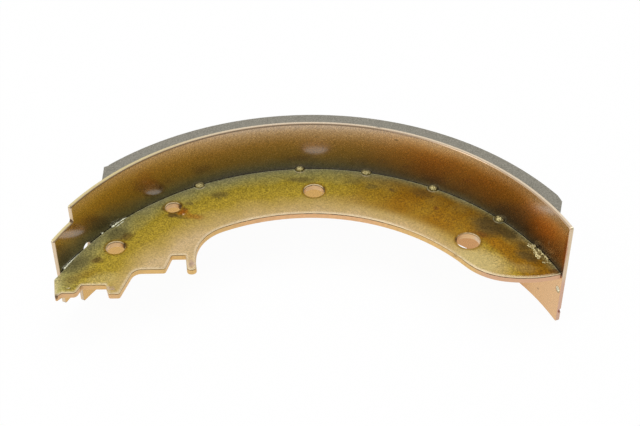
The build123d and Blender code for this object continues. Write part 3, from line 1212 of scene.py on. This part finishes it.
@dataclass(frozen=True)
class Crest:
    """A crest of small drops along a line of angles and insets, in degrees and millimetres."""

    line: tuple[tuple[float, float], ...]
    drops: int
    smallest: float
    largest: float
    spread: float

    # Ranges of a drop's length and height, as multiples of its width, and of its turn
    ALONG = (0.9, 2.2)
    RISE = (0.8, 1.7)
    TURN = (-35.0, 35.0)

    def lumps(self, draw: Random) -> list[Lump]:
        """Scatter the drops along the line.

        Args:
            draw: Source of the unevenness.

        Returns:
            The drops.
        """
        lumps = []
        runs = len(self.line) - 1
        for number in range(self.drops):
            place = (number + draw.random()) / self.drops * runs
            run = min(int(place), runs - 1)
            share = place - run
            (angle, inset), (next_angle, next_inset) = self.line[run : run + 2]
            size = draw.uniform(self.smallest, self.largest)
            angle += (next_angle - angle) * share
            inset += (next_inset - inset) * share + draw.uniform(-1.0, 1.0) * self.spread
            along = size * draw.uniform(*self.ALONG)
            rise = size * draw.uniform(*self.RISE)
            lumps.append(Lump(angle, inset, size, along, rise, draw.uniform(*self.TURN)))
        return lumps


class Skin(Enum):
    """How finely weld metal is made: voxel, depth and size of its grain, in millimetres."""

    SMOOTH = (0.09, 0.10, 0.9)
    CRUMBLY = (0.10, 0.42, 0.5)


@dataclass(frozen=True)
class WeldRun:
    """Weld metal laid in the corner of the rim and the web."""

    shoe: Shoe
    node: str
    skin: Skin
    lumps: tuple[Lump, ...]
    root: float = 0.4

    def build(self, metal: bpy.types.Material) -> None:
        """Model the run and put it in place of its node.

        Args:
            metal: Its finish.
        """
        drops = []
        for lump in self.lumps:
            place = self.shoe.at(lump.angle, lump.inset * MM)
            reach = Vector((lump.across, lump.along, lump.rise)) * MM
            drops.append(Bench.lump(place, reach, lump.angle + lump.turn))
        piece = Bench.join(f"{self.node}_metal", drops)
        voxel, depth, grain = (size * MM for size in self.skin.value)
        Bench.modify(piece, "REMESH", mode="VOXEL", voxel_size=voxel)
        Bench.roughen(piece, depth, grain)
        buried = Vector((0.0, 0.0, self.shoe.web_top - self.root * MM))
        Bench.cut(piece, buried, Vector((0.0, 0.0, -1.0)))
        Bench.finish(piece, self.node, metal)


@dataclass(frozen=True)
class WeldNuggets:
    """Metal squeezed out of the projection welds, one in each scallop of the web."""

    shoe: Shoe
    angles: tuple[float, ...] = (41.1, 59.2, 75.7, 91.5, 115.7)
    sides: int = 20
    root: float = 0.9
    uneven: float = 0.08
    grain_depth: float = 0.5
    grain: float = 1.2
    seed: int = 11
    # From the underside up, as radius and height about the middle of the web, in millimetres
    outline: tuple[tuple[float, float], ...] = (
        (0.45, -2.25), (1.10, -2.15), (1.55, -1.80), (1.80, -1.30), (2.10, -1.00),
        (2.48, -0.92), (2.50, 0.92), (2.42, 1.25), (2.34, 1.70), (2.12, 2.20),
        (1.74, 2.62), (1.22, 2.95), (0.60, 3.12),
    )

    def build(self, metal: bpy.types.Material) -> None:
        """Model one nugget and set a copy in each scallop.

        Args:
            metal: Their finish.
        """
        pattern = self._pattern()
        draw = Random(self.seed)
        middle = (self.shoe.web_top + self.shoe.web_bottom) / 2.0
        for number, angle in enumerate(self.angles, start=1):
            Bench.take(pattern)
            bpy.ops.object.duplicate(linked=False)
            piece = bpy.context.object
            piece.name = f"weld_nugget_{number}_metal"
            seat = self.shoe.at(angle, 0.0)
            piece.location = (seat.x, seat.y, middle)
            piece.rotation_euler = (0.0, 0.0, radians(angle))
            piece.scale = (1.0, 1.0 + draw.uniform(-1.0, 1.0) * self.uneven, 1.0)
            Bench.settle(piece)
            Bench.roughen(piece, self.grain_depth * MM, self.grain * MM)
            Bench.finish(piece, f"weld_nugget_{number}", metal)
        bpy.data.objects.remove(pattern)

    def _pattern(self) -> bpy.types.Object:
        """Raise the outline from a disc, round it off and cut its rim side flat.

        Returns:
            The nugget that the others are copied from.
        """
        (radius, height), *rest = self.outline
        Bench.clear()
        place = (0.0, 0.0, height * MM)
        bpy.ops.mesh.primitive_circle_add(
            vertices=self.sides, radius=radius * MM, fill_type="NGON", location=place
        )
        pattern = bpy.context.object
        pattern.name = "nugget_pattern"
        Bench.settle(pattern)
        with Bench.editing(pattern):
            for next_radius, next_height in rest:
                rise = {"value": (0.0, 0.0, (next_height - height) * MM)}
                bpy.ops.mesh.extrude_region_move(TRANSFORM_OT_translate=rise)
                swell = next_radius / radius
                bpy.ops.transform.resize(value=(swell, swell, 1.0), center_override=(0.0, 0.0, 0.0))
                radius, height = next_radius, next_height
            bpy.ops.mesh.select_all(action="SELECT")
            bpy.ops.mesh.normals_make_consistent(inside=False)
        Bench.modify(pattern, "SUBSURF", levels=2, render_levels=2)
        Bench.cut(pattern, Vector((self.root * MM, 0.0, 0.0)), Vector((1.0, 0.0, 0.0)))
        return pattern


# Each weld metal gives a lit crown, a flank and a shaded crease colour, for painted light and
# shade.
NUGGET_METAL = WeldMetal(
    "nugget_metal", srgb(188, 174, 120), srgb(132, 118, 60), srgb(56, 48, 24), patchy=0.9
)
RUN_METALS = {
    Skin.SMOOTH: WeldMetal(
        "bead_metal", srgb(226, 226, 200), srgb(160, 156, 120), srgb(66, 62, 42), patchy=0.3
    ),
    Skin.CRUMBLY: WeldMetal(
        "tack_metal", srgb(228, 216, 164), srgb(152, 130, 62), srgb(52, 42, 20), patchy=1.1
    ),
}


END_BEAD_DROPS = 9
TACK_SEED = 23


# ---------------------------------------------------------------- the shoe


@dataclass(frozen=True)
class PlainPart(ABC):
    """A part that keeps its node's shape and only gets a finish."""

    shoe: Shoe

    NODE = ""

    @abstractmethod
    def finish(self) -> Finish:
        """Say what the part is made of."""

    def dress(self, nodes: dict[str, bpy.types.Object]) -> None:
        """Put the finish on the part's node.

        Args:
            nodes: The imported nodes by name.
        """
        finish = self.finish()
        material = finish.material(self.shoe)
        for slot in nodes[self.NODE].material_slots:
            slot.material = material
        LOG.info("%s: %s", self.NODE, finish.name)


@dataclass(frozen=True)
class StampedWeb(PlainPart):
    """The web: its plating and the marks on it."""

    scallop_angles: tuple[float, ...]

    NODE = "web"
    HOLES = ("cable_hole", "spring_hole", "hold_down_hole", "lever_hole")
    STAIN_DEPTH = 9.0

    BROWN = srgb(100, 76, 34)
    DARK = srgb(92, 76, 38)
    OLIVE = srgb(112, 98, 48)
    GREY_GREEN = srgb(110, 104, 66)
    RED_BROWN = srgb(112, 66, 18)
    RUST = srgb(156, 92, 6)
    ORANGE = srgb(160, 112, 8)
    PALE = srgb(202, 184, 122)
    LILAC = srgb(178, 150, 132)
    WHITE = srgb(236, 228, 204)

    def finish(self) -> WebPlate:
        """Plate the web round its holes and scallops.

        Returns:
            The plating.
        """
        holes = tuple(self.shoe.holes[name] for name in self.HOLES)
        scallops = tuple(tuple(self.shoe.at(angle, 0.0) / MM) for angle in self.scallop_angles)
        return WebPlate(holes, scallops, self._stains())

    def _stains(self) -> tuple[Stain, ...]:
        """Place the heat tint, drips and drying marks.

        Returns:
            The marks, each reaching well below the face.
        """
        spots = (
            # heel and cable hole
            ((-103.0, -49.0), (10.0, 5.6), self.GREY_GREEN, 0.75, 48.0),
            ((-105.0, -59.0), (6.0, 4.6), self.BROWN, 0.45, 30.0),
            ((-110.8, -61.5), (2.0, 7.5), self.PALE, 0.4, 0.0),
            ((-88.5, -29.0), (8.5, 6.0), self.GREY_GREEN, 0.75, 42.0),
            ((-84.0, -31.0), (5.0, 3.2), self.BROWN, 0.7, 20.0),
            ((-95.4, -46.4), (3.8, 3.0), self.BROWN, 0.75, 20.0),
            ((-98.5, -55.0), (7.5, 3.8), self.RED_BROWN, 0.28, 14.0),
            ((-92.0, -59.0), (10.0, 6.0), self.PALE, 0.4, 20.0),
            ((-110.1, -68.4), (1.7, 1.6), self.BROWN, 0.85, 0.0),
            ((-105.0, -64.6), (3.2, 1.2), self.BROWN, 0.4, 0.0),
            ((-106.1, -63.9), (0.5, 0.45), self.WHITE, 0.8, 0.0),
            ((-87.5, -64.6), (2.2, 1.8), self.LILAC, 0.7, 0.0),
            ((-53.9, -49.6), (2.6, 2.8), self.LILAC, 0.8, 0.0),
            ((-66.5, -52.0), (3.4, 0.9), self.BROWN, 0.5, 0.0),
            # spring hole
            ((-64.8, -16.0), (4.4, 2.6), self.BROWN, 0.85, -8.0),
            ((-60.6, -13.6), (3.6, 3.8), self.RUST, 1.0, 30.0),
            ((-59.6, -11.6), (2.0, 2.0), self.BROWN, 0.6, 0.0),
            ((-54.8, -17.4), (7.0, 2.8), self.RUST, 0.55, -14.0),
            ((-57.6, -8.4), (3.0, 2.0), self.OLIVE, 0.7, -20.0),
            ((-69.6, -11.2), (1.8, 2.4), self.BROWN, 0.55, 0.0),
            ((-62.0, -17.4), (6.0, 2.2), self.BROWN, 0.6, -12.0),
            ((-60.1, -15.6), (0.8, 0.6), self.WHITE, 0.45, 0.0),
            # crown
            ((-44.0, -2.2), (5.6, 3.6), self.OLIVE, 0.75, 10.0),
            ((-6.0, 8.4), (9.0, 3.0), self.OLIVE, 0.7, -2.0),
            ((19.0, 6.0), (5.0, 3.0), self.OLIVE, 0.4, 0.0),
            ((27.0, 2.2), (5.0, 2.8), self.OLIVE, 0.6, -14.0),
            ((36.6, -0.4), (2.6, 1.6), self.BROWN, 0.75, -16.0),
            ((50.5, -3.4), (8.0, 4.2), self.BROWN, 0.55, -24.0),
            ((55.8, -14.2), (2.6, 2.0), self.RED_BROWN, 0.6, -20.0),
            # right end
            ((78.6, -27.4), (11.5, 9.6), self.DARK, 0.9, -48.0),
            ((86.5, -33.0), (8.0, 4.8), self.DARK, 0.8, -50.0),
            ((73.2, -33.2), (5.4, 3.4), self.RED_BROWN, 0.7, -20.0),
            ((82.0, -40.2), (9.0, 4.4), self.ORANGE, 0.85, -34.0),
            ((93.0, -48.4), (8.5, 4.4), self.DARK, 0.8, -38.0),
            ((91.6, -41.6), (4.0, 3.0), self.DARK, 0.7, -45.0),
            ((71.0, -51.0), (18.0, 10.5), self.PALE, 0.75, -22.0),
            ((89.6, -55.8), (9.0, 4.0), self.PALE, 0.2, -16.0),
            ((98.6, -58.6), (6.0, 3.0), self.ORANGE, 0.5, -10.0),
            ((103.6, -58.4), (3.4, 2.4), self.RED_BROWN, 0.7, -20.0),
        )
        top, depth = self.shoe.web_top / MM, self.STAIN_DEPTH
        return tuple(Stain((*place, top), (*reach, depth), *look) for place, reach, *look in spots)


@dataclass(frozen=True)
class RolledRim(PlainPart):
    """The rim: its plating and the marks on it."""

    NODE = "rim"

    BROWN = srgb(84, 58, 24)
    DARK_BROWN = srgb(98, 68, 30)
    RUST = srgb(156, 78, 46)
    RED = srgb(176, 84, 30)
    PALE = srgb(206, 170, 130)

    def finish(self) -> RimPlate:
        """Plate the rim, except at a corner of its tongue and at the nick on its right end.

        Returns:
            The plating.
        """
        height = (self.shoe.rim_high - self.shoe.web_top) / MM
        corner = BareSpot((-105.2, -41.1, 19.9), 1.1, self.DARK_BROWN)
        nick = BareSpot((107.6, -60.1, -20.0), 1.7, self.RUST)
        return RimPlate(self._stains(), height, (corner, nick))

    def _stains(self) -> tuple[Stain, ...]:
        """Place the dents, specks and rust.

        Returns:
            The marks.
        """
        return (
            Stain((30.4, 13.2, 27.7), (2.0, 0.5, 0.6), self.BROWN, 0.6, -17.0),
            Stain((38.4, 9.1, 23.5), (1.4, 1.4, 0.8), self.BROWN, 0.75),
            Stain((105.8, -60.1, 14.1), (1.6, 1.8, 14.0), self.RED, 0.7),
            Stain((101.2, -49.1, 9.7), (0.5, 0.7, 2.2), self.PALE, 0.6),
            Stain((97.0, -41.0, 11.5), (0.4, 0.5, 1.2), self.PALE, 0.5),
            Stain((100.0, -46.5, -19.6), (0.8, 0.8, 0.6), self.BROWN, 0.7),
        )


@dataclass(frozen=True)
class BondedLining(PlainPart):
    """The lining: its friction material."""

    NODE = "friction_lining"

    def finish(self) -> FrictionBlock:
        """Leave the material as it was moulded."""
        return FrictionBlock()


def weld_runs(shoe: Shoe) -> list[WeldRun]:
    """Lay out the weld metal in the corner of rim and web.

    Args:
        shoe: The faces that it lies on.

    Returns:
        The runs, from the left end to the right.
    """
    pitch, narrowing, sinking = 0.62, 0.075, 0.08
    end_bead = tuple(
        Lump(155.7 - pitch * drop, 0.35, 0.74 - narrowing * drop, 1.1, 0.85 - sinking * drop)
        for drop in range(END_BEAD_DROPS)
    )
    bead = (
        Lump(139.3, 0.6, 0.8, 1.3, 0.85, -8.0),
        Lump(138.1, 0.4, 0.6, 2.2, 0.7, 2.0),
        Lump(136.3, 0.3, 0.42, 2.4, 0.5),
        Lump(138.2, 1.7, 0.34, 1.5, 0.42, 5.0),
        Lump(137.0, 1.5, 0.28, 1.4, 0.32),
    )
    draw = Random(TACK_SEED)
    crests = (
        Crest(((30.9, 1.5), (30.3, 2.4), (29.5, 2.1), (30.0, 1.1)), 34, 0.26, 0.58, 0.45),
        Crest(((30.3, 0.6), (29.3, 0.4)), 9, 0.26, 0.42, 0.15),
        Crest(((28.3, 0.4), (27.4, 0.5), (26.4, 0.8)), 20, 0.28, 0.52, 0.15),
        Crest(((26.0, 0.5), (25.2, 0.5), (24.5, 0.9)), 16, 0.28, 0.5, 0.3),
        Crest(((29.4, 1.7), (28.4, 2.4), (27.3, 2.7), (25.9, 3.1)), 40, 0.24, 0.48, 0.35),
        Crest(((28.2, 3.2), (26.8, 3.8), (25.7, 3.7)), 18, 0.2, 0.4, 0.45),
        Crest(((24.4, 3.5), (24.0, 3.2)), 6, 0.28, 0.42, 0.2),
        Crest(((24.0, 2.9), (23.9, 1.8), (23.3, 0.9)), 13, 0.17, 0.3, 0.12),
        Crest(((28.4, 1.4), (26.6, 1.8), (24.8, 2.1)), 9, 0.14, 0.24, 0.5),
    )
    tack = tuple(lump for crest in crests for lump in crest.lumps(draw))
    return [
        WeldRun(shoe, "left_end_bead", Skin.SMOOTH, end_bead),
        WeldRun(shoe, "left_spatter", Skin.SMOOTH, (Lump(142.5, 0.3, 0.6, 0.8, 0.7),)),
        WeldRun(shoe, "left_bead", Skin.SMOOTH, bead),
        WeldRun(shoe, "right_end_tack", Skin.CRUMBLY, tack),
    ]


# ---------------------------------------------------------------- studio


@dataclass(frozen=True)
class Softbox:
    """A square lamp that faces the shoe, in metres and watts."""

    name: str
    place: Point
    side: float
    power: float


@dataclass(frozen=True)
class Studio:
    """Pale floor, soft light and the camera."""

    floor_height: float
    floor_side: float = 12.0
    floor_colour: Colour = srgb(252, 252, 252)
    shadow_share: float = 0.035
    room_light: float = 0.62
    lamps: tuple[Softbox, ...] = (
        Softbox("top_softbox", (0.1, 0.2, 1.3), 1.1, 9.0),
        Softbox("side_softbox", (-0.9, -0.6, 0.9), 0.8, 3.0),
    )
    camera_place: Point = (-0.003459, -0.454219, 0.363688)
    camera_turn: float = 0.013708
    camera_dip: float = 0.690927
    camera_roll: float = -0.007322
    lens: float = 69.938

    WHITE = (1.0, 1.0, 1.0, 1.0)

    def build(self) -> None:
        """Set the whole studio up."""
        self._camera()
        self._floor()
        self._room()
        for lamp in self.lamps:
            self._hang(lamp)
        bpy.context.scene.view_settings.view_transform = "Standard"
        LOG.info("studio ready")

    def _camera(self) -> None:
        """Create the camera and look through it."""
        dip, turn, roll = self.camera_dip, self.camera_turn, self.camera_roll
        ahead = Vector((sin(turn) * cos(dip), cos(turn) * cos(dip), -sin(dip)))
        level = Vector((cos(turn), -sin(turn), 0.0))
        upright = level.cross(ahead)
        right = cos(roll) * level + sin(roll) * upright
        up = cos(roll) * upright - sin(roll) * level
        data = bpy.data.cameras.new("camera")
        data.lens = self.lens
        data.sensor_fit = "HORIZONTAL"
        camera = bpy.data.objects.new("camera", data)
        axes = Matrix((right, up, -ahead)).transposed().to_4x4()
        camera.matrix_world = Matrix.Translation(self.camera_place) @ axes
        bpy.context.scene.collection.objects.link(camera)
        bpy.context.scene.camera = camera

    def _floor(self) -> None:
        """Lay a floor that looks white to the camera and still takes the shoe's shadow."""
        Bench.clear()
        place = (0.0, 0.0, self.floor_height)
        bpy.ops.mesh.primitive_plane_add(size=self.floor_side, location=place)
        floor = bpy.context.object
        floor.name = "floor"
        material = bpy.data.materials.new("floor_white")
        material.use_nodes = True
        graph = ShaderGraph(material.node_tree)
        matt = graph.node("ShaderNodeBsdfDiffuse", None, {"Color": self.floor_colour})
        glow = graph.node("ShaderNodeEmission", None, {"Color": self.WHITE, "Strength": 1.0})
        factor = self._seen(graph) * (1.0 - self.shadow_share)
        surface = graph.node("ShaderNodeMixShader", None, {0: factor, 1: matt, 2: glow})
        graph.node("ShaderNodeOutputMaterial", None, {"Surface": surface})
        floor.data.materials.append(material)

    def _room(self) -> None:
        """Light the room evenly and show white where it is seen or mirrored."""
        world = bpy.data.worlds.new("studio")
        world.use_nodes = True
        bpy.context.scene.world = world
        graph = ShaderGraph(world.node_tree)
        level = self.room_light + self._seen(graph) * (1.0 - self.room_light)
        glow = graph.node("ShaderNodeBackground", None, {"Strength": level})
        graph.node("ShaderNodeOutputWorld", None, {"Surface": glow})

    @staticmethod
    def _seen(graph: ShaderGraph) -> Socket:
        """Tell what is seen from what only gives light.

        Args:
            graph: The tree being filled.

        Returns:
            1 where a surface is seen by the camera, in a reflection or through glass.
        """
        seen = graph.node("ShaderNodeLightPath", output="Is Camera Ray")
        for ray in ("Is Glossy Ray", "Is Transmission Ray"):
            seen = seen.larger(graph.node("ShaderNodeLightPath", output=ray))
        return seen

    @staticmethod
    def _hang(softbox: Softbox) -> None:
        """Hang one softbox.

        Args:
            softbox: What is hung.
        """
        data = bpy.data.lights.new(softbox.name, "AREA")
        data.shape = "SQUARE"
        data.size = softbox.side
        data.energy = softbox.power
        lamp = bpy.data.objects.new(softbox.name, data)
        place = Vector(softbox.place)
        lamp.location = place
        lamp.rotation_euler = (-place).to_track_quat("-Z", "Y").to_euler()
        bpy.context.scene.collection.objects.link(lamp)


def main() -> None:
    """Load the frame, dress the shoe and set up the studio."""
    logging.basicConfig(level=logging.INFO, format="%(name)s: %(message)s")
    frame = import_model()
    shoe = Shoe.from_frame(frame)
    nuggets = WeldNuggets(shoe)
    for part in (StampedWeb(shoe, nuggets.angles), RolledRim(shoe), BondedLining(shoe)):
        part.dress(frame["nodes"])
    nuggets.build(NUGGET_METAL.material(shoe))
    metals = {skin: metal.material(shoe) for skin, metal in RUN_METALS.items()}
    for run in weld_runs(shoe):
        run.build(metals[run.skin])
    Studio(shoe.rim_low).build()


if __name__ == "__main__":
    main()
